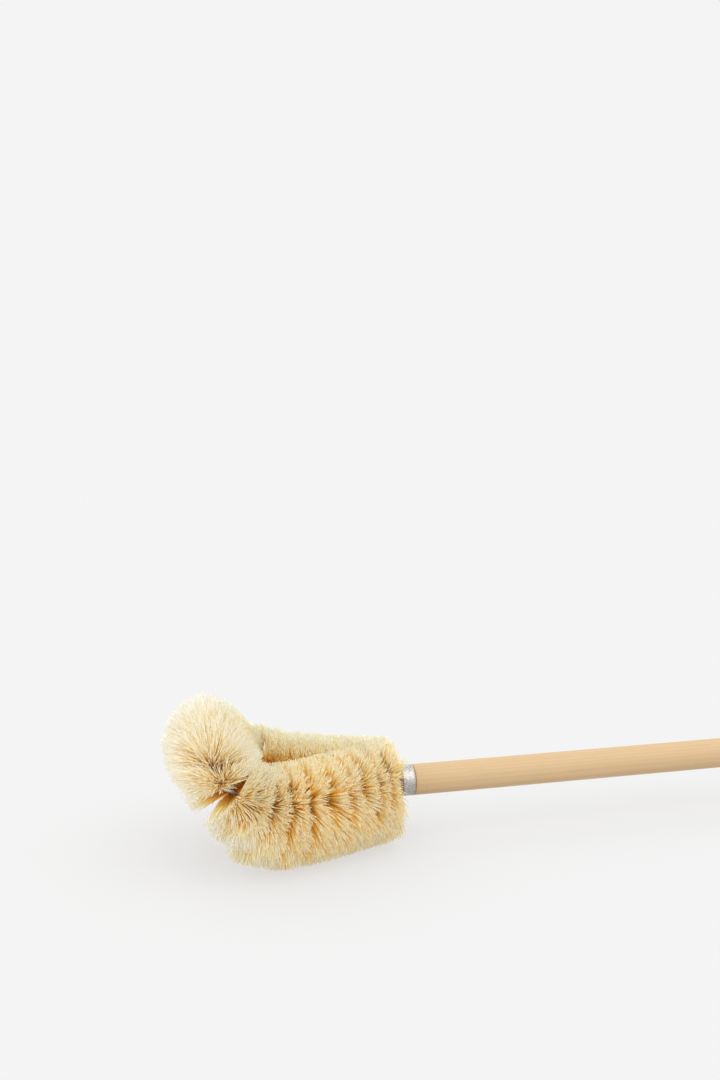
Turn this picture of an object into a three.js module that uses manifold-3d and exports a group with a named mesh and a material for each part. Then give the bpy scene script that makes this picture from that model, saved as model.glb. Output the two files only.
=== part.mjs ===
// A round wooden-handled brush with a bent head. Two galvanised wires are twisted together round a
// layer of plant fibre, and the twisted stem is bent into a teardrop loop whose nose is rolled up.
// Both ends of the stem are driven side by side into the handle, under a metal ferrule.
import * as THREE from 'three';
import { mergeVertices } from 'three/addons/utils/BufferGeometryUtils.js';
import Module from 'manifold-3d';

const wasm = await Module();
wasm.setup();

// Driving dimensions, in millimetres. The handle lies along X with its butt at +X, and x = 0 is the
// ferrule's front edge until the finished brush is centred.
const handleDiameter = 18;
const handleLength = 245;
const buttRounding = 4;
const shoulderChamfer = 0.4;
const tenonLip = 0.8;
const boreDepth = 46;
const boreChamfer = 0.6;
const drillPointAngle = 118;

const ferruleLength = 7.5;
const ferruleWall = 0.6;
const ferruleBead = 0.3;

const wireDiameter = 1.7;
const fibreLayer = 0.5;
const twistPitch = 21;
const twistStart = 77;
const stemEndGap = 3;
const stemSpacing = 0.6;
const straightEnd = 2;

const loopHalfWidth = 27.5;
const limbLead = 38;
const limbFlare = 46.5;
const noseCentre = 100;
const rollStart = 77;
const rollRadius = 38.5;

const trimRadius = 28.5;
const trimDrop = 6;
const floorCut = 0.5;
const bareStem = 6;
const layerOverhang = 0.6;
const strandTipWidth = 1.2;
const strandTipThickness = 1;
const hollowSideShare = 0.7;
const midPlaneGap = 0.6;
const sectionGap = 0.4;

const clearance = 0.3;

// Counts
const turnedSides = 64;
const roundingSteps = 8;
const beadSteps = 6;
const wireSides = 5;
const stepsPerTurn = 8;
const strandsPerStretch = 90;

// Spans over which a direction, a bend and shared corners are measured
const directionSpan = 0.2;
const bendSpan = 2;
const weldDistance = 1e-4;

// Sizes that follow from the driving dimensions
const handleRadius = handleDiameter / 2;
const wireRadius = wireDiameter / 2;
const wireOffset = wireRadius + fibreLayer / 2 + clearance;
const stemRadius = wireOffset + wireRadius;
const exitOffset = stemRadius + stemSpacing / 2;
const boreRadius = exitOffset + stemRadius + clearance;
const stemInset = boreDepth - stemEndGap;
const tenonRadius = handleRadius - ferruleWall - clearance;
const layerEdge = wireRadius + layerOverhang;
const axisHeight = trimRadius + trimDrop - floorCut;

// Closed solids and cuts

function asSolid(geometry) {
  const bare = new THREE.BufferGeometry();
  bare.setAttribute('position', geometry.getAttribute('position'));
  bare.setIndex(geometry.getIndex());
  const merged = mergeVertices(bare, weldDistance);
  const vertProperties = new Float32Array(merged.getAttribute('position').array);
  const triVerts = new Uint32Array(merged.getIndex().array);
  return new wasm.Manifold(new wasm.Mesh({ numProp: 3, vertProperties, triVerts }));
}

function asGeometry(solid) {
  const mesh = solid.getMesh();
  const geometry = new THREE.BufferGeometry();
  geometry.setAttribute('position', new THREE.BufferAttribute(new Float32Array(mesh.vertProperties), 3));
  geometry.setIndex(new THREE.BufferAttribute(new Uint32Array(mesh.triVerts), 1));
  geometry.computeVertexNormals();
  return geometry;
}

function geometryFrom(points, triangles) {
  const geometry = new THREE.BufferGeometry().setFromPoints(points);
  geometry.setIndex(triangles);
  return geometry;
}

// A profile of (radius, x) points turned about the handle's axis
function turned(profile) {
  const geometry = new THREE.LatheGeometry(profile, turnedSides);
  geometry.rotateZ(-Math.PI / 2);
  geometry.translate(0, 0, axisHeight);
  return geometry;
}

function arcPoints(centre, radius, fromAngle, toAngle, steps) {
  const points = [];
  for (let i = 0; i <= steps; i += 1) {
    const angle = fromAngle + ((toAngle - fromAngle) * i) / steps;
    points.push(new THREE.Vector2(centre.x + radius * Math.cos(angle), centre.y + radius * Math.sin(angle)));
  }
  return points;
}

// Handle: a plain dowel with a rounded butt, turned down to a tenon for the ferrule and drilled
// for the two stem ends
function handleGeometry() {
  const pointDepth = boreRadius / Math.tan(THREE.MathUtils.degToRad(drillPointAngle / 2));
  const shoulder = ferruleLength + clearance;
  const rounding = new THREE.Vector2(handleRadius - buttRounding, handleLength - buttRounding);
  const profile = [
    new THREE.Vector2(0, boreDepth + pointDepth),
    new THREE.Vector2(boreRadius, boreDepth),
    new THREE.Vector2(boreRadius, boreChamfer - tenonLip),
    new THREE.Vector2(boreRadius + boreChamfer, -tenonLip),
    new THREE.Vector2(tenonRadius - shoulderChamfer, -tenonLip),
    new THREE.Vector2(tenonRadius, shoulderChamfer - tenonLip),
    new THREE.Vector2(tenonRadius, shoulder),
    new THREE.Vector2(handleRadius - shoulderChamfer, shoulder),
    new THREE.Vector2(handleRadius, shoulder + shoulderChamfer),
    ...arcPoints(rounding, buttRounding, 0, Math.PI / 2, roundingSteps),
    new THREE.Vector2(0, handleLength),
  ];
  return turned(profile);
}

// Ferrule: a thin drawn band, flush with the dowel, with a rolled bead along both edges
function ferruleGeometry() {
  const inner = tenonRadius + clearance;
  const outer = inner + ferruleWall;
  const frontBead = new THREE.Vector2(outer - ferruleBead / 2, ferruleBead);
  const backBead = new THREE.Vector2(outer - ferruleBead / 2, ferruleLength - ferruleBead);
  const profile = [
    new THREE.Vector2(inner, 0),
    ...arcPoints(frontBead, ferruleBead, -Math.PI / 2, Math.PI / 3, beadSteps),
    ...arcPoints(backBead, ferruleBead, -Math.PI / 3, Math.PI / 2, beadSteps),
    new THREE.Vector2(inner, ferruleLength),
    new THREE.Vector2(inner, 0),
  ];
  return turned(profile);
}

// The stem's centre line, drawn flat and then rolled up at the nose. Distance s runs along it from
// the end of the near stem in the bore, round the loop, to the end of the far stem.
const flatLoop = new THREE.Path();
flatLoop.moveTo(stemInset, -exitOffset);
flatLoop.lineTo(0, -exitOffset);
flatLoop.bezierCurveTo(-limbLead, -exitOffset, -limbFlare, -loopHalfWidth, -noseCentre, -loopHalfWidth);
flatLoop.absarc(-noseCentre, 0, loopHalfWidth, -Math.PI / 2, Math.PI / 2, true);
flatLoop.bezierCurveTo(-limbFlare, loopHalfWidth, -limbLead, exitOffset, 0, exitOffset);
flatLoop.lineTo(stemInset, exitOffset);
const stemLength = flatLoop.getLength();

function rollAngle(flat) {
  return Math.max(0, -flat.x - rollStart) / rollRadius;
}

function rolled(flat) {
  const angle = rollAngle(flat);
  const x = Math.max(flat.x, -rollStart) - rollRadius * Math.sin(angle);
  return new THREE.Vector3(x, flat.y, axisHeight + rollRadius * (1 - Math.cos(angle)));
}

function flatPoint(s) {
  return flatLoop.getPoint(THREE.MathUtils.clamp(s / stemLength, 0, 1));
}

function stemPoint(s) {
  return rolled(flatPoint(s));
}

// Frame on the centre line: up is square to the rolled plane of the loop, side lies in it
function stemFrame(s) {
  const flat = flatPoint(s);
  const angle = rollAngle(flat);
  const centre = rolled(flat);
  const ahead = stemPoint(Math.min(s + directionSpan, stemLength));
  const behind = stemPoint(Math.max(s - directionSpan, 0));
  const tangent = ahead.clone().sub(behind).normalize();
  const up = new THREE.Vector3(Math.sin(angle), 0, Math.cos(angle));
  const side = tangent.clone().cross(up).normalize();
  return { flat, centre, tangent, up, side };
}

// The pair is twisted to the left, from twistStart degrees at the near stem's end
function twistAngle(s) {
  const twisted = THREE.MathUtils.clamp(s, straightEnd, stemLength - straightEnd);
  return THREE.MathUtils.degToRad(twistStart) - (2 * Math.PI * twisted) / twistPitch;
}

function radial(frame, angle) {
  return frame.up.clone().multiplyScalar(Math.cos(angle)).addScaledVector(frame.side, Math.sin(angle));
}

// One wire of the twisted pair, a single tube from the near stem's end to the far stem's end
function wirePoint(s, start) {
  const frame = stemFrame(s);
  return frame.centre.addScaledVector(radial(frame, twistAngle(s) + start), wireOffset);
}

function wireGeometry(start) {
  const steps = Math.round((stemLength / twistPitch) * stepsPerTurn);
  const points = [];
  const triangles = [];
  const centres = [];
  for (let i = 0; i <= steps; i += 1) {
    const s = (stemLength * i) / steps;
    const centre = wirePoint(s, start);
    const ahead = wirePoint(Math.min(s + directionSpan, stemLength), start);
    const behind = wirePoint(Math.max(s - directionSpan, 0), start);
    const tangent = ahead.sub(behind).normalize();
    const outward = radial(stemFrame(s), twistAngle(s) + start);
    outward.addScaledVector(tangent, -outward.dot(tangent)).normalize();
    const across = tangent.clone().cross(outward);
    for (let k = 0; k < wireSides; k += 1) {
      const turn = (2 * Math.PI * k) / wireSides;
      const corner = centre.clone().addScaledVector(outward, wireRadius * Math.cos(turn));
      points.push(corner.addScaledVector(across, wireRadius * Math.sin(turn)));
    }
    centres.push(centre);
  }
  for (let i = 0; i < steps; i += 1) {
    for (let k = 0; k < wireSides; k += 1) {
      const a = i * wireSides + k;
      const b = i * wireSides + ((k + 1) % wireSides);
      triangles.push(a, b, b + wireSides, a, b + wireSides, a + wireSides);
    }
  }
  const last = steps * wireSides;
  for (let k = 1; k < wireSides - 1; k += 1) {
    triangles.push(0, k + 1, k);
    triangles.push(last, last + k, last + k + 1);
  }
  console.log(`wire gap to itself ${leastGap(centres).toFixed(2)} mm`);
  return geometryFrom(points, triangles);
}

// Least distance between the wire's surface and another turn of the same wire, on its points
function leastGap(centres) {
  const apart = 2 * stepsPerTurn;
  let least = Infinity;
  for (let i = 0; i < centres.length; i += 1) {
    for (let k = i + apart; k < centres.length; k += 1) {
      least = Math.min(least, centres[i].distanceTo(centres[k]) - wireDiameter);
    }
  }
  return least;
}

// How far a strand reaches from the centre line: to the round trim, which sits below the wire along
// the limbs, less on the hollow side of a bend, and no further than the plane between the limbs
function strandReach(frame, s, direction) {
  const noseAngle = (noseCentre + loopHalfWidth - rollStart) / rollRadius;
  const drop = trimDrop * (1 - THREE.MathUtils.smoothstep(rollAngle(frame.flat), 0, noseAngle));
  const lift = direction.dot(frame.up);
  let reach = -drop * lift + Math.sqrt(trimRadius ** 2 - drop ** 2 * (1 - lift ** 2));
  const bend = stemPoint(s + bendSpan).add(stemPoint(s - bendSpan)).addScaledVector(frame.centre, -2);
  const hollow = direction.dot(bend) / bendSpan ** 2;
  if (hollow > 0) {
    reach = Math.min(reach, hollowSideShare / hollow);
  }
  const onLimb = frame.flat.x > -noseCentre;
  if (onLimb && direction.y * frame.centre.y < 0) {
    reach = Math.min(reach, (Math.abs(frame.centre.y) - midPlaneGap) / Math.abs(direction.y));
  }
  return reach;
}

// One stretch of bristles: the thin layer of fibre held between the wires, and strands that leave its
// two edges by turns and wind round the stem with the twist
function bristleSolid(from, to) {
  const points = [];
  const triangles = [];
  const quad = (a, b, c, d) => triangles.push(c, b, a, d, c, a);
  const step = (to - from) / strandsPerStretch;
  for (let i = 0; i <= strandsPerStretch; i += 1) {
    const s = from + step * i;
    const frame = stemFrame(s);
    const thick = radial(frame, twistAngle(s)).multiplyScalar(fibreLayer / 2);
    const wide = radial(frame, twistAngle(s) + Math.PI / 2).multiplyScalar(layerEdge);
    points.push(frame.centre.clone().add(wide).add(thick));
    points.push(frame.centre.clone().add(wide).sub(thick));
    points.push(frame.centre.clone().sub(wide).sub(thick));
    points.push(frame.centre.clone().sub(wide).add(thick));
  }
  const strand = (base, s, turn) => {
    const frame = stemFrame(s);
    const direction = radial(frame, twistAngle(s) + turn);
    const across = radial(frame, twistAngle(s) + turn - Math.PI / 2).multiplyScalar(strandTipThickness / 2);
    const along = frame.tangent.clone().multiplyScalar(strandTipWidth / 2);
    const tip = frame.centre.clone().addScaledVector(direction, strandReach(frame, s, direction));
    const first = points.length;
    points.push(tip.clone().add(across).sub(along));
    points.push(tip.clone().add(across).add(along));
    points.push(tip.clone().sub(across).add(along));
    points.push(tip.clone().sub(across).sub(along));
    for (let k = 0; k < 4; k += 1) {
      const next = (k + 1) % 4;
      quad(base[k], base[next], first + next, first + k);
    }
    quad(first, first + 1, first + 2, first + 3);
  };
  for (let i = 0; i < strandsPerStretch; i += 1) {
    const a = 4 * i;
    const b = a + 4;
    const middle = from + step * (i + 0.5);
    const edges = [[a, b, b + 1, a + 1], [a + 2, b + 2, b + 3, a + 3]];
    const turns = [Math.PI / 2, -Math.PI / 2];
    const grown = i % 2;
    quad(a, a + 3, b + 3, b);
    quad(a + 2, a + 1, b + 1, b + 2);
    strand(edges[grown], middle, turns[grown]);
    quad(...edges[1 - grown]);
  }
  const last = 4 * strandsPerStretch;
  quad(0, 1, 2, 3);
  quad(last, last + 3, last + 2, last + 1);
  return asSolid(geometryFrom(points, triangles));
}

// The longest strands below the limbs are trimmed level where the brush lies on a surface
function floorSlab() {
  const length = 2 * (noseCentre + loopHalfWidth + trimRadius);
  const slab = new THREE.BoxGeometry(length, length, trimRadius);
  slab.translate(0, 0, -trimRadius / 2);
  return asSolid(slab);
}

const wood = { color: 0xdfbf93, roughness: 0.62, metalness: 0 };
const zinc = { color: 0xc2bbb2, roughness: 0.38, metalness: 1 };
const steel = { color: 0x8c8a86, roughness: 0.42, metalness: 1 };
const fibre = { color: 0xe4d0a0, roughness: 0.8, metalness: 0 };

const group = new THREE.Group();

function addPart(name, solid, finish) {
  const mesh = new THREE.Mesh(asGeometry(solid), new THREE.MeshStandardMaterial(finish));
  mesh.name = name;
  group.add(mesh);
}

addPart('handle', asSolid(handleGeometry()), wood);
addPart('ferrule', asSolid(ferruleGeometry()), zinc);
addPart('wire_strand_a', asSolid(wireGeometry(0)), steel);
addPart('wire_strand_b', asSolid(wireGeometry(Math.PI)), steel);

// Bristle stretches of equal length from the near stem's exit, round the nose, to the far one's
const bristleNames = ['bristles_near_limb', 'bristles_near_nose', 'bristles_far_nose', 'bristles_far_limb'];
const bristleStart = stemInset + bareStem;
const bristleSpan = (stemLength - 2 * bristleStart) / bristleNames.length;
const slab = floorSlab();
bristleNames.forEach((name, i) => {
  const from = bristleStart + bristleSpan * i + sectionGap / 2;
  const to = bristleStart + bristleSpan * (i + 1) - sectionGap / 2;
  addPart(name, bristleSolid(from, to).subtract(slab), fibre);
});

// Origin at the middle of the footprint, on the surface that the brush lies on
const box = new THREE.Box3().setFromObject(group);
const middle = box.getCenter(new THREE.Vector3());
group.position.set(-middle.x, -middle.y, -box.min.z);
group.updateMatrixWorld(true);

export default group;
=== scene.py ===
import math

import bpy
import numpy as np
from mathutils import Matrix, Vector


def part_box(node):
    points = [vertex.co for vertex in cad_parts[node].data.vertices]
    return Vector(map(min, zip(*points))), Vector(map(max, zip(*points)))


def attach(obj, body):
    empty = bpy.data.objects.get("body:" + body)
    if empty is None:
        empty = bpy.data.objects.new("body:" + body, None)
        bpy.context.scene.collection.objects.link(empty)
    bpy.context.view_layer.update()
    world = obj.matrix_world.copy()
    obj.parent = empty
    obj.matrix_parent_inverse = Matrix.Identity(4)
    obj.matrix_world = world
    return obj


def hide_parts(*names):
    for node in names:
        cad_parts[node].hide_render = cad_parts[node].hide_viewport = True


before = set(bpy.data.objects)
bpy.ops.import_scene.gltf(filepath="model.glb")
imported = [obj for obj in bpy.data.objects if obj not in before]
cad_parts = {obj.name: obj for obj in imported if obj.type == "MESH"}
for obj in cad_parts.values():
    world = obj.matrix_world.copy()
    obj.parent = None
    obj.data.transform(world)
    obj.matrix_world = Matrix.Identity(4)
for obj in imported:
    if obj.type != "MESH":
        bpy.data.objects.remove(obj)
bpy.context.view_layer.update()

mm = 0.001
randomSeed = 11
tiny = 1e-3  # keeps divisors off zero

handleLow, handleHigh = (Vector(corner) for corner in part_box("handle"))
ferruleLow, ferruleHigh = (Vector(corner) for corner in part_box("ferrule"))
handleAxis = (handleLow + handleHigh) / 2
stemOrigin = Vector((ferruleLow.x, handleAxis.y, handleAxis.z))  # on the axis, at the ferrule's front
print("frame loaded, handle axis at height", round(handleAxis.z, 4))


# Camera at the photograph's angle

view = {
    "imageHeight": 1080,
    "focalPixels": 1250,
    "turn": 14.6,           # degrees, the handle runs away to the right
    "pitch": 8.2,           # degrees below level
    "aimAlong": 12.3 * mm,  # the aim point on the handle, past the ferrule's front
    "ahead": 710.1 * mm,    # the aim point seen from the camera
    "right": 35.1 * mm,
    "below": 244.8 * mm,
    "sensor": 36.0,
    "nearClip": 10.0 * mm,
}


def makeCamera():
    turn, pitch = math.radians(view["turn"]), math.radians(view["pitch"])
    ahead = Vector((math.sin(turn), math.cos(turn), 0))
    right = Vector((math.cos(turn), -math.sin(turn), 0))
    up = Vector((0, 0, 1))
    aim = stemOrigin + Vector((view["aimAlong"], 0, 0))
    back = up * math.sin(pitch) - ahead * math.cos(pitch)
    lens = bpy.data.cameras.new("photoCamera")
    lens.sensor_fit = "VERTICAL"
    lens.sensor_height = view["sensor"]
    lens.lens = view["focalPixels"] / view["imageHeight"] * view["sensor"]
    lens.clip_start = view["nearClip"]
    camera = bpy.data.objects.new("photoCamera", lens)
    camera.location = aim - ahead * view["ahead"] - right * view["right"] + up * view["below"]
    camera.rotation_euler = Matrix((right, back.cross(right), back)).transposed().to_euler()
    bpy.context.scene.collection.objects.link(camera)
    bpy.context.scene.camera = camera


makeCamera()
print("camera placed")


# Small node helpers

def newMaterial(name):
    material = bpy.data.materials.new(name)
    material.use_nodes = True
    return material, material.node_tree, material.node_tree.nodes["Principled BSDF"]


def addNode(tree, kind, **settings):
    node = tree.nodes.new(kind)
    for key, value in settings.items():
        setattr(node, key, value)
    return node


def setInputs(node, **values):
    for key, value in values.items():
        node.inputs[key].default_value = value
    return node


def grey(level):
    return (level, level, level)


def ramp(tree, factor, stops):
    node = addNode(tree, "ShaderNodeValToRGB")
    node.color_ramp.elements.remove(node.color_ramp.elements[1])
    for i, (place, colour) in enumerate(stops):
        stop = node.color_ramp.elements[0] if i == 0 else node.color_ramp.elements.new(place)
        stop.position = place
        stop.color = (*colour, 1)
    tree.links.new(factor, node.inputs[0])
    return node.outputs[0]


def mixColour(tree, factor, first, second):
    node = addNode(tree, "ShaderNodeMix", data_type="RGBA")
    for socket, value in ((node.inputs[0], factor), (node.inputs[6], first), (node.inputs[7], second)):
        if isinstance(value, bpy.types.NodeSocket):
            tree.links.new(value, socket)
        else:
            socket.default_value = (*value, 1)
    return node.outputs[2]


def maths(tree, operation, first, second):
    node = addNode(tree, "ShaderNodeMath", operation=operation)
    for socket, value in zip(node.inputs, (first, second)):
        if isinstance(value, bpy.types.NodeSocket):
            tree.links.new(value, socket)
        else:
            socket.default_value = value
    return node.outputs[0]


def addSocket(tree, name, kind, way, value=None):
    made = tree.interface.new_socket(name=name, in_out=way, socket_type="NodeSocket" + kind)
    if value is not None:
        made.default_value = value


# Mottled metal, shared by the ferrule and the wires: blotches in the finish and fine pits

def makeMottle():
    group = bpy.data.node_groups.new("metalMottle", "ShaderNodeTree")
    addSocket(group, "Blotch Scale", "Float", "INPUT", 400.0)
    addSocket(group, "Pit Scale", "Float", "INPUT", 1500.0)
    addSocket(group, "Light", "Color", "INPUT", (0.8, 0.8, 0.8, 1))
    addSocket(group, "Dark", "Color", "INPUT", (0.5, 0.5, 0.5, 1))
    addSocket(group, "Smooth", "Float", "INPUT", 0.2)
    addSocket(group, "Rough", "Float", "INPUT", 0.5)
    addSocket(group, "Colour", "Color", "OUTPUT")
    addSocket(group, "Roughness", "Float", "OUTPUT")
    addSocket(group, "Height", "Float", "OUTPUT")
    entry = addNode(group, "NodeGroupInput")
    leave = addNode(group, "NodeGroupOutput")
    place = addNode(group, "ShaderNodeTexCoord")
    blotch = setInputs(addNode(group, "ShaderNodeTexNoise"), Detail=3.0, Roughness=0.6)
    pits = setInputs(addNode(group, "ShaderNodeTexNoise"), Detail=2.0, Roughness=0.5)
    for noise, scale in ((blotch, "Blotch Scale"), (pits, "Pit Scale")):
        group.links.new(place.outputs["Object"], noise.inputs["Vector"])
        group.links.new(entry.outputs[scale], noise.inputs["Scale"])
    patch = ramp(group, blotch.outputs[0], ((0.36, grey(0)), (0.64, grey(1))))
    tone = mixColour(group, patch, entry.outputs["Dark"], entry.outputs["Light"])
    group.links.new(tone, leave.inputs["Colour"])
    spread = maths(group, "SUBTRACT", entry.outputs["Rough"], entry.outputs["Smooth"])
    sheen = maths(group, "MULTIPLY", pits.outputs[0], spread)
    group.links.new(maths(group, "ADD", entry.outputs["Smooth"], sheen), leave.inputs["Roughness"])
    depth = maths(group, "MULTIPLY", pits.outputs[0], patch)
    group.links.new(maths(group, "ADD", depth, blotch.outputs[0]), leave.inputs["Height"])
    return group


metalMottle = makeMottle()


def mottledMetal(name, metal):
    material, tree, shader = newMaterial(name)
    mottle = addNode(tree, "ShaderNodeGroup", node_tree=metalMottle)
    setInputs(mottle, **metal["finish"])
    bump = addNode(tree, "ShaderNodeBump")
    setInputs(bump, Distance=metal["bumpDistance"], Strength=metal["bumpStrength"])
    tree.links.new(mottle.outputs["Colour"], shader.inputs["Base Color"])
    tree.links.new(mottle.outputs["Roughness"], shader.inputs["Roughness"])
    tree.links.new(mottle.outputs["Height"], bump.inputs["Height"])
    tree.links.new(bump.outputs[0], shader.inputs["Normal"])
    setInputs(shader, Metallic=metal["metallic"])
    return material


# Mesh helpers

def meshPiece(name, points, faces, material):
    mesh = bpy.data.meshes.new(name)
    mesh.from_pydata([tuple(point) for point in points], [], faces)
    mesh.polygons.foreach_set("use_smooth", [True] * len(mesh.polygons))
    mesh.materials.append(material)
    mesh.update()
    piece = bpy.data.objects.new(name, mesh)
    bpy.context.scene.collection.objects.link(piece)
    return piece


def turnedPiece(name, profile, sides, material):
    # profile is (x, radius) in metres about the handle's axis, from axis to axis or closed on itself
    angles = np.linspace(0, 2 * np.pi, sides, endpoint=False)
    points, faces = [], []
    for x, radius in profile:
        for angle in angles:
            y, z = handleAxis.y + radius * math.cos(angle), handleAxis.z + radius * math.sin(angle)
            points.append((x, y, z))
    for i in range(len(profile) - 1):
        for k in range(sides):
            a, b = i * sides + k, i * sides + (k + 1) % sides
            faces.append((a, a + sides, b + sides, b))
    return meshPiece(name, points, faces, material)


def arc(centre, radius, fromDegrees, toDegrees, steps):
    angles = np.radians(np.linspace(fromDegrees, toDegrees, steps + 1))
    return [(centre[0] + radius * math.sin(a), centre[1] + radius * math.cos(a)) for a in angles]


# Handle: a sanded dowel of pale wood

handle = {
    "sides": 128,
    "buttRounding": 4.0 * mm,
    "buttSteps": 10,
    "tenonRadius": 8.1 * mm,
    "boreRadius": 5.1 * mm,
    "boreDepth": 46.0 * mm,
    "chamfer": 0.4 * mm,
    "shoulderEase": 0.3,    # share of the chamfer where its worn corner stands
    "seatGap": 0.3 * mm,
    "turnedLines": (3.2 * mm, 5.4 * mm),  # faint tool lines past the shoulder
    "lineDepth": 0.05 * mm,
    "lineWidth": 0.35 * mm,
    "plainFrom": 10.0 * mm,  # the plain run starts this far past the shoulder
    "plainRings": 24,
    "pale": (0.49, 0.345, 0.185),
    "warm": (0.44, 0.285, 0.138),
    "pore": (0.36, 0.22, 0.10),
    "pith": (0.0, 0.031, -0.012),  # where the rings' centre lies
    "grainTilt": (0.0, 1.1, 0.8),  # degrees
    "grainStretch": 0.05,   # along the handle
    "ringScale": 150.0,
    "cloudScale": 60.0,
    "streakStretch": 0.03,
    "streakScale": 1500.0,
    "roughness": 0.55,
    "roughnessSwing": 0.3,
    "bumpDistance": 0.08 * mm,
    "bumpStrength": 0.35,
}


def handleProfile():
    radius = (handleHigh.z - handleLow.z) / 2
    front, butt = handleLow.x, handleHigh.x
    shoulder = ferruleHigh.x + handle["seatGap"]
    chamfer, bore, tenon = handle["chamfer"], handle["boreRadius"], handle["tenonRadius"]
    ease = chamfer * handle["shoulderEase"]
    boreEnd = stemOrigin.x + handle["boreDepth"]
    profile = [(boreEnd, 0.0), (boreEnd, bore)]
    profile += [(front + chamfer, bore), (front, bore + chamfer), (front, tenon - chamfer)]
    profile += [(front + chamfer, tenon), (shoulder, tenon), (shoulder, radius - chamfer)]
    profile += [(shoulder + ease, radius - ease), (shoulder + chamfer, radius)]
    for along in handle["turnedLines"]:
        for step, depth in ((-1, 0), (0, 1), (1, 0)):
            line = shoulder + along + step * handle["lineWidth"]
            profile.append((line, radius - depth * handle["lineDepth"]))
    rounding = handle["buttRounding"]
    plain = np.linspace(shoulder + handle["plainFrom"], butt - rounding, handle["plainRings"])
    profile += [(x, radius) for x in plain]
    profile += arc((butt - rounding, radius - rounding), rounding, 0, 90, handle["buttSteps"])[1:]
    profile.append((butt, 0.0))
    return profile


def woodMaterial():
    material, tree, shader = newMaterial("paleDowelWood")
    place = addNode(tree, "ShaderNodeTexCoord")
    tilt = addNode(tree, "ShaderNodeMapping")
    setInputs(tilt, Location=handle["pith"], Rotation=[math.radians(angle) for angle in handle["grainTilt"]])
    setInputs(tilt, Scale=(handle["grainStretch"], 1, 1))
    tree.links.new(place.outputs["Object"], tilt.inputs[0])
    drift = addNode(tree, "ShaderNodeTexNoise")
    setInputs(drift, Scale=handle["cloudScale"], Detail=3.0, Roughness=0.55)
    tree.links.new(tilt.outputs[0], drift.inputs["Vector"])
    rings = addNode(tree, "ShaderNodeTexWave", wave_type="RINGS", rings_direction="X", wave_profile="SAW")
    setInputs(rings, Scale=handle["ringScale"], Distortion=2.2, Detail=2.0)
    setInputs(rings, **{"Detail Scale": 1.4, "Detail Roughness": 0.55})
    tree.links.new(tilt.outputs[0], rings.inputs["Vector"])
    fine = addNode(tree, "ShaderNodeMapping")
    setInputs(fine, Scale=(handle["streakStretch"], 1, 1))
    tree.links.new(place.outputs["Object"], fine.inputs[0])
    streak = addNode(tree, "ShaderNodeTexNoise")
    setInputs(streak, Scale=handle["streakScale"], Detail=4.0, Roughness=0.65)
    tree.links.new(fine.outputs[0], streak.inputs["Vector"])
    lateWood = ramp(tree, rings.outputs["Fac"], ((0.25, grey(0)), (0.95, grey(0.55))))
    tone = mixColour(tree, lateWood, handle["pale"], handle["warm"])
    cloud = ramp(tree, drift.outputs[0], ((0.35, grey(0)), (0.75, grey(0.4))))
    tone = mixColour(tree, cloud, tone, handle["warm"])
    pores = ramp(tree, streak.outputs[0], ((0.56, grey(0)), (0.74, grey(0.35))))
    tone = mixColour(tree, pores, tone, handle["pore"])
    tree.links.new(tone, shader.inputs["Base Color"])
    gloss = maths(tree, "MULTIPLY", streak.outputs[0], handle["roughnessSwing"])
    smoothest = handle["roughness"] - handle["roughnessSwing"] / 2
    tree.links.new(maths(tree, "ADD", gloss, smoothest), shader.inputs["Roughness"])
    bump = addNode(tree, "ShaderNodeBump")
    setInputs(bump, Distance=handle["bumpDistance"], Strength=handle["bumpStrength"])
    tree.links.new(streak.outputs[0], bump.inputs["Height"])
    tree.links.new(bump.outputs[0], shader.inputs["Normal"])
    return material


dowel = turnedPiece("dowelHandle", handleProfile(), handle["sides"], woodMaterial())
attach(dowel, "root")
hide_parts("handle")
print("handle turned")


# Ferrule: a bright drawn band with rolled edges and a few handling dents

ferrule = {
    "sides": 160,
    "wall": 0.6 * mm,
    "bead": 0.3 * mm,
    "beadTurn": 60,         # degrees past the top of each rolled edge
    "beadSteps": 8,
    "beadRun": 3,           # the plain band starts this many beads in
    "bandRings": 26,
    "dents": 46,
    "dentDepth": 0.07 * mm,
    "dentDepths": (-0.3, 1.0),  # shares of dentDepth, a few stand out
    "dentWidth": 1.1 * mm,
    "dentWidths": (0.5, 1.5),
    "finish": {"Blotch Scale": 900.0, "Pit Scale": 2600.0, "Light": (0.56, 0.53, 0.505, 1),
               "Dark": (0.32, 0.30, 0.28, 1), "Smooth": 0.16, "Rough": 0.46},
    "bumpDistance": 0.2 * mm,
    "bumpStrength": 0.5,
    "metallic": 1.0,
}


def ferruleProfile():
    outer = (ferruleHigh.z - ferruleLow.z) / 2 - ferrule["bead"] / 2
    inner = outer - ferrule["wall"]
    bead, turn, steps = ferrule["bead"], ferrule["beadTurn"], ferrule["beadSteps"]
    front, back = ferruleLow.x, ferruleHigh.x
    inset = ferrule["beadRun"] * bead
    profile = [(front, inner)]
    profile += arc((front + bead, outer - bead / 2), bead, -90, turn, steps)
    profile += [(x, outer) for x in np.linspace(front + inset, back - inset, ferrule["bandRings"])]
    profile += arc((back - bead, outer - bead / 2), bead, -turn, 90, steps)
    return profile + [(back, inner), (front, inner)]


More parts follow.
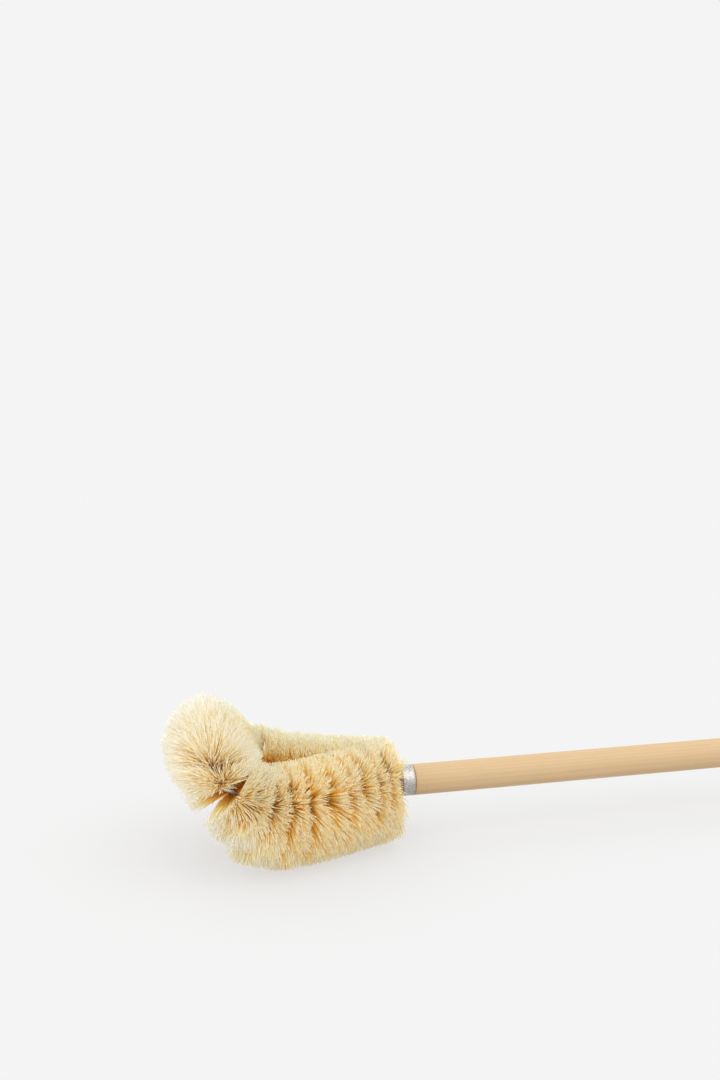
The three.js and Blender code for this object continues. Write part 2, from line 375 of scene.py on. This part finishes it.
def dentFerrule(piece):
    rng = np.random.default_rng(randomSeed)
    inner = (ferruleHigh.z - ferruleLow.z) / 2 - ferrule["bead"] / 2 - ferrule["wall"] / 2
    points = np.array([vertex.co for vertex in piece.data.vertices])
    away = points[:, 1:] - np.array([handleAxis.y, handleAxis.z])
    radius = np.linalg.norm(away, axis=1)
    angle = np.arctan2(away[:, 1], away[:, 0])
    sunk = np.zeros(len(points))
    for _ in range(ferrule["dents"]):
        along = rng.uniform(ferruleLow.x, ferruleHigh.x)
        turn = rng.uniform(-np.pi, np.pi)
        width = ferrule["dentWidth"] * rng.uniform(*ferrule["dentWidths"])
        gap = np.angle(np.exp(1j * (angle - turn))) * radius
        far = (points[:, 0] - along) ** 2 + gap ** 2
        sunk += rng.uniform(*ferrule["dentDepths"]) * ferrule["dentDepth"] * np.exp(-far / width ** 2)
    sunk[radius < inner] = 0
    points[:, 1:] -= away / radius[:, None] * sunk[:, None]
    piece.data.vertices.foreach_set("co", points.ravel())
    piece.data.update()


brightSheet = mottledMetal("brightFerruleSheet", ferrule)
band = turnedPiece("ferruleBand", ferruleProfile(), ferrule["sides"], brightSheet)
dentFerrule(band)
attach(band, "root")
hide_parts("ferrule")
print("ferrule rolled")


# The stem's centre line: two limbs, a round nose, and the nose rolled up. Sizes in millimetres from
# stemOrigin, in the order of the wire from the near stem's end in the bore to the far one's.

stem = {
    "boreReach": 43.0,
    "exitOffset": 2.55,
    "limbLead": 38.0,
    "limbFlare": 46.5,
    "loopHalfWidth": 27.5,
    "noseCentre": 100.0,
    "rollStart": 77.0,
    "rollRadius": 38.5,
    "twistPitch": 21.0,     # a left-hand twist
    "twistStart": 77.0,     # degrees, at the near stem's end
    "straightEnd": 2.0,
    "curvePoints": 600,     # on each limb and on the nose
    "spacing": 0.1,         # between samples of the centre line
}


def flatLimb():
    t = np.linspace(0, 1, stem["curvePoints"])[:, None]
    corners = [(0, -stem["exitOffset"]), (-stem["limbLead"], -stem["exitOffset"])]
    corners += [(-stem["limbFlare"], -stem["loopHalfWidth"]), (-stem["noseCentre"], -stem["loopHalfWidth"])]
    weights = ((1 - t) ** 3, 3 * t * (1 - t) ** 2, 3 * t ** 2 * (1 - t), t ** 3)
    return sum(weight * np.array(corner) for weight, corner in zip(weights, corners))


def centreLine():
    limb = flatLimb()
    turn = np.linspace(-np.pi / 2, -1.5 * np.pi, stem["curvePoints"])[1:-1, None]
    nose = stem["loopHalfWidth"] * np.hstack((np.cos(turn), np.sin(turn)))
    nose += np.array([-stem["noseCentre"], 0])
    start = np.array([[stem["boreReach"], -stem["exitOffset"]]])
    mirror = np.array([1, -1])
    flat = np.vstack((start, limb, nose, limb[::-1] * mirror, start * mirror))
    run = np.concatenate(([0], np.cumsum(np.linalg.norm(np.diff(flat, axis=0), axis=1))))
    s = np.linspace(0, run[-1], int(run[-1] / stem["spacing"]))
    x, y = np.interp(s, run, flat[:, 0]), np.interp(s, run, flat[:, 1])
    roll = np.maximum(0, -x - stem["rollStart"]) / stem["rollRadius"]
    centre = np.stack((np.maximum(x, -stem["rollStart"]) - stem["rollRadius"] * np.sin(roll), y,
                       stem["rollRadius"] * (1 - np.cos(roll))), axis=1)
    tangent = np.gradient(centre, axis=0)
    tangent /= np.linalg.norm(tangent, axis=1)[:, None]
    up = np.stack((np.sin(roll), np.zeros(len(s)), np.cos(roll)), axis=1)
    twisted = np.clip(s, stem["straightEnd"], s[-1] - stem["straightEnd"])
    turned = math.radians(stem["twistStart"]) - 2 * np.pi * twisted / stem["twistPitch"]
    bend = np.gradient(tangent, s, axis=0)
    return {"s": s, "roll": roll, "centre": centre, "tangent": tangent, "up": up,
            "side": np.cross(tangent, up), "twist": turned, "bend": bend}


line = centreLine()
stemLength = line["s"][-1]


def lineAt(key, s):
    values = line[key]
    if values.ndim == 1:
        return np.interp(s, line["s"], values)
    return np.stack([np.interp(s, line["s"], values[:, k]) for k in range(3)], axis=1)


def radial(s, angle):
    return lineAt("up", s) * np.cos(angle)[:, None] + lineAt("side", s) * np.sin(angle)[:, None]


def rolledShare(s):
    # 0 on the flat limbs, 1 at the tip of the rolled nose
    rollEnd = (stem["noseCentre"] + stem["loopHalfWidth"] - stem["rollStart"]) / stem["rollRadius"]
    share = np.clip(lineAt("roll", s) / rollEnd, 0, 1)
    return share * share * (3 - 2 * share)


def unit(vectors):
    return vectors / np.linalg.norm(vectors, axis=1)[:, None]


def around(values, place, spread):
    return np.exp(-((values - place) / spread) ** 2)


def between(values, none, full):
    # 0 at none, 1 at full
    return np.clip((values - none) / (full - none), 0, 1)


def toFrame(points):
    return np.asarray(points) * mm + np.array(stemOrigin)


# Wires: a galvanised pair twisted round the fibre

wire = {
    "radius": 1.0,
    "offset": 1.45,         # from the stem's centre line
    "sides": 14,
    "stepsPerTurn": 28,
    "finish": {"Blotch Scale": 420.0, "Pit Scale": 1900.0, "Light": (0.72, 0.71, 0.70, 1),
               "Dark": (0.40, 0.40, 0.40, 1), "Smooth": 0.28, "Rough": 0.60},
    "bumpDistance": 0.1 * mm,
    "bumpStrength": 0.4,
    "metallic": 0.6,        # dulled by the zinc
}


def wirePiece(name, node, start, material):
    steps = int(stemLength / stem["twistPitch"] * wire["stepsPerTurn"])
    s = np.linspace(0, stemLength, steps + 1)
    angle = lineAt("twist", s) + start
    outward = radial(s, angle)
    centre = lineAt("centre", s) + wire["offset"] * outward
    tangent = unit(np.gradient(centre, axis=0))
    outward = unit(outward - tangent * np.sum(outward * tangent, axis=1)[:, None])
    across = np.cross(tangent, outward)
    sides = wire["sides"]
    turns = np.linspace(0, 2 * np.pi, sides, endpoint=False)
    rings = [centre + wire["radius"] * (outward * math.cos(t) + across * math.sin(t)) for t in turns]
    points = toFrame(np.stack(rings, axis=1).reshape(-1, 3))
    faces = [tuple(range(sides))[::-1], tuple(range(steps * sides, (steps + 1) * sides))]
    for i in range(steps):
        for k in range(sides):
            a, b = i * sides + k, i * sides + (k + 1) % sides
            faces.append((a, b, b + sides, a + sides))
    piece = meshPiece(name, points, faces, material)
    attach(piece, "root")
    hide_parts(node)


zincWire = mottledMetal("galvanisedWire", wire)
wirePiece("twistedWireA", "wire_strand_a", 0.0, zincWire)
wirePiece("twistedWireB", "wire_strand_b", math.pi, zincWire)
print("wires twisted")


# Bristles: fine plant fibres that leave the twisted pair on two opposite sides and turn with it.
# Sizes in millimetres, leans in radians. A place is a distance along the stem, and a height the
# upward part of a fibre's direction.

bristle = {
    "stretches": (  # piece, node, fibres in each of its two rows
        ("fibresNearLimb", "bristles_near_limb", 6500),
        ("fibresNearNose", "bristles_near_nose", 10000),
        ("fibresFarNose", "bristles_far_nose", 10000),
        ("fibresFarLimb", "bristles_far_limb", 6500)),
    "bareStem": 5.0,
    "root": 0.7,
    "radius": 0.22,
    "radiusRange": (0.75, 1.2),
    "tipShare": (0.75, 0.5),  # on the limbs and the nose
    "bow": 0.015,           # share of the length
    "floorGap": 0.4,        # between the lowest tips and the floor
    "rings": 3,
    "sides": 3,
    # how far the trimmed fibres reach
    "trimRadius": 29.0,
    "trimDrop": 5.0,        # the trimmed form hangs this far below the wire on the limbs
    "trimScatter": (0.014, 0.045),  # on the limbs and the nose
    "noseTrim": (6.5, 6.5, 3.0),  # taken off the front, the underside and the back of the nose
    "underFrom": 0.5,       # how far rolled the stem is where the underside's trim is whole
    "heelTrim": (152.0, 15.0, 5.5),  # place, spread, taken off below the bend
    "heelWay": (-0.3, 0.0, -0.95),  # which way the heel faces
    "farRise": 2.0,         # the far limb stands a little higher
    "farShoulder": (247.0, 15.0, 8.0),  # place, spread, extra reach
    "hollowShare": 0.6,     # of the bend's radius, on its hollow side
    "leastCosine": 0.97,    # of a lean, as leaning fibres are cut longer
    "endTaper": 0.09,       # share taken off the last fibres
    # how the fans spread and part
    "angleScatter": 0.12,
    "leanScatter": 0.045,
    "leanSpread": (0.086, 0.27, 0.15),  # near limb, nose, far limb
    "topSpread": 0.045,     # added on top of the limbs
    "stretch": (0.4, 2.3),  # least and most that a bend of the stem changes the spread
    "frontFans": 0.5,       # share taken off the spread on the near limb's upper front
    "frontBand": (-0.6, 0.36, 0.2),  # directions below this in Y, the band's height and its spread
    "frontEnd": 0.25,       # how far rolled the stem is where the front ends
    "lowerFans": 0.4,       # share added to the spread on the near limb's lower front
    "lowerBand": (0.0, -1 / 3),  # heights with none and all of it
    "bareBend": (158.5, 3.5, 0.45),  # place, spread, share taken off the fans
    "lockLength": 0.9,      # fibres stand in locks this long
    "lockLean": 0.045,
    "lockTurn": 0.07,
    "endFan": (0.08, -0.25, 4.0),  # the last upper and lower fibres lean to the ferrule, over how far
    "partings": (  # place, leans before and after it, depth, share that reaches the top
        (155.0, -0.05, 0.26, 4.5, 0.1), (236.5, 0.12, 0.12, 5.0, 0.5), (259.0, 0.0, 0.0, 2.0, 1.0)),
    "partingTop": (0.38, 0.78),  # heights where the top begins and is whole
    "thinned": (  # place, spread, share missing below
        (157.8, 5.0, 0.94), (167.0, 4.5, 0.85), (234.0, 10.0, 0.94)),
    "thinnedBelow": (0.2 / 3, -0.8 / 3),  # heights with none and all of it
    "mostThinned": 0.95,
    "combed": ((160.5, 2.8, (-0.14, 0.0, -0.22)),),  # place, spread, which way
    # colours
    # painted shade: the roots sit deep among the other fibres, so they are coloured darker and more orange
    # than the body and the tip
    "rootShade": (0.95, 0.57, 0.05),
    "body": (0.96, 0.805, 0.15),
    "bodyPlace": 0.55,      # share of the length
    "tip": (0.932, 0.902, 0.70),
    # the light colour and tan are used both for fibres that differ at random and for the painted light and
    # painted shade below
    "light": (0.925, 0.928, 0.895),
    "tan": (0.985, 0.68, 0.16),
    "lightTints": (0.5, 0.9),  # tints where the light colour begins and is whole
    "tanTints": (0.0, 0.3),  # tints where tan is whole and ends
    "tintShare": 0.9,       # most of the light colour or of tan
    "paintedLighting": (0.9, 1.5, 0.3),  # painted light: more pale fibres on the backlit nose, on the downward fibres under the bend and on the far limb's top
    "insideShade": 1.6,       # painted shade: more tan fibres inside the loop, which light reaches only through other fibres
    "insideTop": (1.6 / 1.3, 0.6 / 1.3),  # heights with none and all of it
    "insideBelow": (-1.4 / 1.2, -0.4 / 1.2),
    "insideFrom": (25.0, 60.0),  # distances from the ferrule
    "insideNose": 0.4,      # share that the rolled nose loses
    "mostTinted": 0.95,
    "through": 0.5,         # share of light that scatters on through a fibre
    "shade": (0.975, 0.83, 0.34),  # what one wall of a fibre leaves of the light it shades
    "roughness": 0.4,
    "specular": 0.3,
}


def fibreMaterial():
    material, tree, shader = newMaterial("plantFibre")
    along = addNode(tree, "ShaderNodeAttribute", attribute_name="along").outputs["Fac"]
    tintWithPaintedLight = addNode(tree, "ShaderNodeAttribute", attribute_name="tintWithPaintedLight").outputs["Fac"]
    # painted shade towards each fibre's root, then the body colour, then the paler tip
    lengthStops = ((0.0, bristle["rootShade"]), (bristle["bodyPlace"], bristle["body"]), (1.0, bristle["tip"]))
    length = ramp(tree, along, lengthStops)
    begin, whole = bristle["lightTints"]
    pale = ramp(tree, tintWithPaintedLight, ((begin, grey(0)), (whole, grey(bristle["tintShare"]))))
    whole, end = bristle["tanTints"]
    dark = ramp(tree, tintWithPaintedLight, ((whole, grey(bristle["tintShare"])), (end, grey(0))))
    # pale fibres, the painted light among them, grow paler towards their tips; tan fibres include the
    # painted shade inside the loop
    tone = mixColour(tree, maths(tree, "MULTIPLY", pale, along), length, bristle["light"])
    tone = mixColour(tree, dark, tone, bristle["tan"])
    tree.links.new(tone, shader.inputs["Base Color"])
    setInputs(shader, **{"Roughness": bristle["roughness"], "Specular IOR Level": bristle["specular"]})
    through = addNode(tree, "ShaderNodeBsdfTranslucent")
    tree.links.new(tone, through.inputs["Color"])
    both = setInputs(addNode(tree, "ShaderNodeMixShader"), Fac=bristle["through"])
    tree.links.new(shader.outputs[0], both.inputs[1])
    tree.links.new(through.outputs[0], both.inputs[2])
    shade = setInputs(addNode(tree, "ShaderNodeBsdfTransparent"), Color=(*bristle["shade"], 1))
    lit = addNode(tree, "ShaderNodeMixShader")  # warm light filters past the fibres instead of black shade
    tree.links.new(addNode(tree, "ShaderNodeLightPath").outputs["Is Shadow Ray"], lit.inputs[0])
    tree.links.new(both.outputs[0], lit.inputs[1])
    tree.links.new(shade.outputs[0], lit.inputs[2])
    tree.links.new(lit.outputs[0], tree.nodes["Material Output"].inputs[0])
    return material


def fibreReach(s, direction):
    rolled = rolledShare(s)
    drop = bristle["trimDrop"] * (1 - rolled)
    lift = np.sum(direction * lineAt("up", s), axis=1)
    reach = -drop * lift + np.sqrt(bristle["trimRadius"] ** 2 - drop ** 2 * (1 - lift ** 2))
    front, under, back = bristle["noseTrim"]
    reach -= rolled * (front * np.maximum(0, -direction[:, 0]) + back * np.maximum(0, direction[:, 0]))
    reach -= under * between(rolled, 0, bristle["underFrom"]) ** 2 * np.maximum(0, -direction[:, 2]) ** 2
    place, spread, taken = bristle["heelTrim"]
    heel = around(s, place, spread) + around(stemLength - s, place, spread)
    reach -= taken * heel * np.maximum(0, np.sum(direction * np.array(bristle["heelWay"]), axis=1)) ** 2
    place, spread, extra = bristle["farShoulder"]
    rise = bristle["farRise"] * (s > stemLength / 2) * (1 - rolled) + extra * around(s, place, spread)
    reach += rise * np.maximum(0, lift)
    hollow = np.sum(direction * lineAt("bend", s), axis=1)
    return np.minimum(reach, bristle["hollowShare"] / np.maximum(hollow, tiny))


def fanSpread(s, outward):
    nearHalf = s < stemLength / 2
    rolled = rolledShare(s)
    near, nose, far = bristle["leanSpread"]
    limb = np.where(nearHalf, near, far) + bristle["topSpread"] * np.maximum(0, outward[:, 2])
    stretch = 1 - bristle["trimRadius"] * np.sum(outward * lineAt("bend", s), axis=1)
    spread = (limb + (nose - limb) * rolled) * np.clip(stretch, *bristle["stretch"])
    side, height, depth = bristle["frontBand"]
    front = (outward[:, 1] < side) * around(outward[:, 2], height, depth)
    spread *= 1 - bristle["frontFans"] * front * (1 - between(rolled, 0, bristle["frontEnd"]))
    lower = nearHalf * (outward[:, 1] < 0) * between(outward[:, 2], *bristle["lowerBand"]) * (1 - rolled)
    spread *= 1 + bristle["lowerFans"] * lower
    place, depth, share = bristle["bareBend"]
    return spread * (1 - share * around(s, place, depth))


def fibreLean(s, outward, rng):
    lean = rng.uniform(-1, 1, len(s)) * fanSpread(s, outward) + rng.normal(0, bristle["leanScatter"], len(s))
    onTop = between(outward[:, 2], *bristle["partingTop"])
    for place, before, after, depth, top in bristle["partings"]:  # fibres lean away from place on both sides
        parted = np.exp(-np.abs(s - place) / depth) * (1 + (top - 1) * onTop)
        away = np.where(s > place, np.abs(lean) + after, -np.abs(lean) - before)
        lean += parted * (away - lean)
    upper, lower, depth = bristle["endFan"]
    fan = np.where(outward[:, 2] > 0, upper, lower) * np.abs(outward[:, 2])
    end = stem["boreReach"] + bristle["bareStem"]
    return lean + fan * (np.exp((s - stemLength + end) / depth) - np.exp((end - s) / depth))


def trimmedReach(s, centre, outward, direction, lean, rng):
    reach = fibreReach(s, outward) / np.maximum(np.cos(lean), bristle["leastCosine"])
    end = stem["boreReach"] + bristle["bareStem"]
    fromEnd = np.minimum(s - end, stemLength - end - s)
    reach *= 1 - bristle["endTaper"] * np.exp(-fromEnd / bristle["endFan"][2])
    even, ragged = bristle["trimScatter"]
    reach *= 1 + rng.normal(0, 1, len(s)) * (even + (ragged - even) * rolledShare(s))
    floor = -stemOrigin.z / mm + bristle["floorGap"]
    falling = np.minimum(direction[:, 2], -tiny)
    toFloor = (floor - centre[:, 2]) / falling
    return np.where(direction[:, 2] < -tiny, np.minimum(reach, toFloor), reach)


def fibreRings(s, centre, direction, reach, rng):
    count = len(s)
    across = unit(np.cross(direction, rng.normal(size=(count, 3))))
    third = np.cross(direction, across)
    bow = rng.normal(0, bristle["bow"], count) * reach
    thick = bristle["radius"] * rng.uniform(*bristle["radiusRange"], count)
    tipShare = np.interp(rolledShare(s), (0, 1), bristle["tipShare"])
    turns = 2 * np.pi * np.arange(bristle["sides"]) / bristle["sides"]
    rings = []
    for share in np.linspace(0, 1, bristle["rings"]):
        run = bristle["root"] + (reach - bristle["root"]) * share
        middle = centre + direction * run[:, None] + across * (bow * share * share)[:, None]
        wide = (thick * (1 - (1 - tipShare) * share))[:, None]
        ring = [middle + wide * (across * math.cos(t) + third * math.sin(t)) for t in turns]
        rings.append(np.stack(ring, axis=1))
    return np.stack(rings, axis=1)


def fibreTintWithPaintedLight(s, centre, direction, rng):
    # 0 is tan, 1 the palest: tints differ at random, and on top of that come painted light and painted shade
    rolled = rolledShare(s)
    height = direction[:, 2]
    # painted shade: fibres that point into the loop are made tan
    middle = np.stack((np.maximum(-stem["noseCentre"] - centre[:, 0], 0), -centre[:, 1], 0 * s), axis=1)
    shadedInward = np.maximum(0, np.sum(direction * unit(middle), axis=1))
    shadedInward *= between(height, *bristle["insideTop"]) * between(height, *bristle["insideBelow"])
    shadedInward *= between(-centre[:, 0], *bristle["insideFrom"]) * (1 - bristle["insideNose"] * rolled)
    nose, heel, far = bristle["paintedLighting"]
    place, spread = bristle["heelTrim"][:2]
    # painted light: paler fibres on the nose, on the downward ones under the bend and on the far limb's top
    pale = nose * rolled + heel * around(s, place, spread) * np.maximum(0, -height)
    pale += far * (s > stemLength / 2) * (1 - rolled) * np.maximum(0, height)
    most = bristle["mostTinted"]
    # painted light, turned to painted shade (tan) for fibres that point into the loop
    paintedLighting = np.clip(pale * (1 - shadedInward) - bristle["insideShade"] * shadedInward, -most, most)
    return np.maximum(paintedLighting, 0) + (1 - np.abs(paintedLighting)) * rng.random(len(s))


def keptFibres(s, direction, rng):
    missing = np.zeros(len(s))
    for place, spread, share in bristle["thinned"]:
        missing += share * around(s, place, spread)
    below = between(direction[:, 2], *bristle["thinnedBelow"])
    return rng.random(len(s)) > np.minimum(missing, bristle["mostThinned"]) * below


def growFibres(index, row, count, rng):
    low = stem["boreReach"] + bristle["bareStem"]
    span = (stemLength - 2 * low) / len(bristle["stretches"])
    s = low + span * (index + rng.random(count))
    locks = int(stemLength / bristle["lockLength"]) + 1
    lock = (s / bristle["lockLength"]).astype(int)
    angle = lineAt("twist", s) + np.pi / 2 + np.pi * row + rng.normal(0, bristle["lockTurn"], locks)[lock]
    angle += rng.normal(0, bristle["angleScatter"], count)
    centre = lineAt("centre", s)
    outward = radial(s, angle)
    lean = fibreLean(s, outward, rng) + rng.normal(0, bristle["lockLean"], locks)[lock]
    direction = outward * np.cos(lean)[:, None] + unit(lineAt("tangent", s)) * np.sin(lean)[:, None]
    for place, spread, way in bristle["combed"]:
        direction += around(s, place, spread)[:, None] * np.array(way)
    direction = unit(direction)
    reach = trimmedReach(s, centre, outward, direction, lean, rng)
    rings = fibreRings(s, centre, direction, reach, rng)
    tintWithPaintedLight = fibreTintWithPaintedLight(s, centre, direction, rng)
    kept = keptFibres(s, direction, rng)
    return rings[kept], tintWithPaintedLight[kept]


# Each fibre has a strip of its own in the unit square: its sides, with a small cap past both ends

fibreStrip = {
    "sideMargin": 0.05,
    "endMargin": 0.1,
    "capStep": 0.25,
    "capRise": 0.05,
    "rootCap": 0.02,
    "tipCap": 0.93,
}


def fibrePattern():
    # one fibre's faces as corners (point, u, v)
    rings, sides = bristle["rings"], bristle["sides"]
    margin, end = fibreStrip["sideMargin"], fibreStrip["endMargin"]
    step, rise = fibreStrip["capStep"], fibreStrip["capRise"]
    heights = [end + (1 - 2 * end) * i / (rings - 1) for i in range(rings)]
    edges = [margin + (1 - 2 * margin) * k / sides for k in range(sides + 1)]
    faces = []
    for i in range(rings - 1):
        for k in range(sides):
            a, b = i * sides + k, i * sides + (k + 1) % sides
            lower = [(a, edges[k], heights[i]), (b, edges[k + 1], heights[i])]
            upper = [(b + sides, edges[k + 1], heights[i + 1]), (a + sides, edges[k], heights[i + 1])]
            faces.append(lower + upper)
    tip = (rings - 1) * sides
    root = reversed(range(sides))
    faces.append([(k, end + step * (sides - 1 - k), fibreStrip["rootCap"] + rise * (k % 2)) for k in root])
    faces.append([(tip + k, end + step * k, fibreStrip["tipCap"] + rise * (k % 2)) for k in range(sides)])
    return faces


def fibreMesh(name, rings, tintWithPaintedLight, material):
    count, ringCount, sides = rings.shape[:3]
    pattern = fibrePattern()
    corners = np.array([corner for face in pattern for corner in face])
    perFibre = ringCount * sides
    starts = np.cumsum([0] + [len(face) for face in pattern])
    columns = int(math.ceil(math.sqrt(count)))
    cell = np.stack((np.arange(count) % columns, np.arange(count) // columns), axis=1)
    mesh = bpy.data.meshes.new(name)
    mesh.vertices.add(count * perFibre)
    mesh.vertices.foreach_set("co", toFrame(rings.reshape(-1, 3)).astype(np.float32).ravel())
    mesh.loops.add(count * len(corners))
    loops = corners[None, :, 0].astype(np.int64) + np.arange(count)[:, None] * perFibre
    mesh.loops.foreach_set("vertex_index", loops.astype(np.int32).ravel())
    mesh.polygons.add(count * len(pattern))
    begins = starts[None, :-1] + np.arange(count)[:, None] * len(corners)
    mesh.polygons.foreach_set("loop_start", begins.astype(np.int32).ravel())
    mesh.polygons.foreach_set("use_smooth", np.ones(count * len(pattern), dtype=bool))
    mesh.update(calc_edges=True)
    strips = mesh.uv_layers.new(name="OFBake")
    places = (cell[:, None, :] + corners[None, :, 1:]) / columns
    strips.data.foreach_set("uv", places.astype(np.float32).ravel())
    along = np.broadcast_to(np.linspace(0, 1, ringCount)[None, :, None], (count, ringCount, sides))
    for key, values in (("along", along.ravel()), ("tintWithPaintedLight", np.repeat(tintWithPaintedLight, perFibre))):
        layer = mesh.attributes.new(key, "FLOAT", "POINT")
        layer.data.foreach_set("value", values.astype(np.float32))
    mesh.materials.append(material)
    piece = bpy.data.objects.new(name, mesh)
    bpy.context.scene.collection.objects.link(piece)
    return piece


plantFibre = fibreMaterial()
for index, (name, node, count) in enumerate(bristle["stretches"]):
    for row, letter in enumerate("AB"):
        rings, tintWithPaintedLight = growFibres(index, row, count, np.random.default_rng((randomSeed, index, row)))
        fibres = fibreMesh(name + letter, rings, tintWithPaintedLight, plantFibre)
        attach(fibres, "root")
        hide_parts(node)
    print(name, "grown")


# Stage: a softly glowing pale floor that meets a background of the same level, and soft light all round

stage = {
    "size": 12.0,
    "floorTone": (0.18, 0.18, 0.18),
    "floorRoughness": 0.9,
    "floorGlow": 0.60,
    "background": 0.905,
    "skyStrength": 1.2,
    "lamps": (("softKey", 0.78, 50, (-0.4, 0.85, 0.85)),  # strength, spread, from
              ("frontFill", 0.9, 80, (-0.8, -0.8, 0.4)),
              ("sideFill", 0.9, 60, (0.5, -0.5, 1.0)),
              ("floorFill", 1.45, 100, (-0.8, -0.5, -0.7))),
    "bounces": 24,          # light goes deep between fibres
}


def makeFloor():
    material, _, shader = newMaterial("paleFloor")
    setInputs(shader, **{"Base Color": (*stage["floorTone"], 1), "Roughness": stage["floorRoughness"]})
    setInputs(shader, **{"Emission Color": (1, 1, 1, 1), "Emission Strength": stage["floorGlow"]})
    setInputs(shader, **{"Specular IOR Level": 0.0})
    half = stage["size"] / 2
    corners = [(-half, -half, 0), (half, -half, 0), (half, half, 0), (-half, half, 0)]
    floor = meshPiece("floor", corners, [(0, 1, 2, 3)], material)
    floor.visible_shadow = False  # lets the fill up from below


def makeSky():
    world = bpy.data.worlds.new("softSky")
    world.use_nodes = True
    bpy.context.scene.world = world
    tree = world.node_tree
    sky = setInputs(tree.nodes["Background"], Color=(1, 1, 1, 1), Strength=stage["skyStrength"])
    back = setInputs(addNode(tree, "ShaderNodeBackground"), Color=(1, 1, 1, 1), Strength=stage["background"])
    path = addNode(tree, "ShaderNodeLightPath")
    mix = addNode(tree, "ShaderNodeMixShader")
    tree.links.new(path.outputs["Is Camera Ray"], mix.inputs[0])
    tree.links.new(sky.outputs[0], mix.inputs[1])
    tree.links.new(back.outputs[0], mix.inputs[2])
    tree.links.new(mix.outputs[0], tree.nodes["World Output"].inputs[0])


def makeLamps():
    for name, strength, spread, source in stage["lamps"]:
        lamp = bpy.data.lights.new(name, "SUN")
        lamp.energy = strength
        lamp.angle = math.radians(spread)
        light = bpy.data.objects.new(name, lamp)
        light.rotation_euler = Vector(source).to_track_quat("Z", "Y").to_euler()
        bpy.context.scene.collection.objects.link(light)
    bpy.context.scene.view_settings.view_transform = "Standard"
    for kind in ("max", "diffuse", "transmission"):
        setattr(bpy.context.scene.cycles, kind + "_bounces", stage["bounces"])


makeFloor()
makeSky()
makeLamps()
print("stage lit")
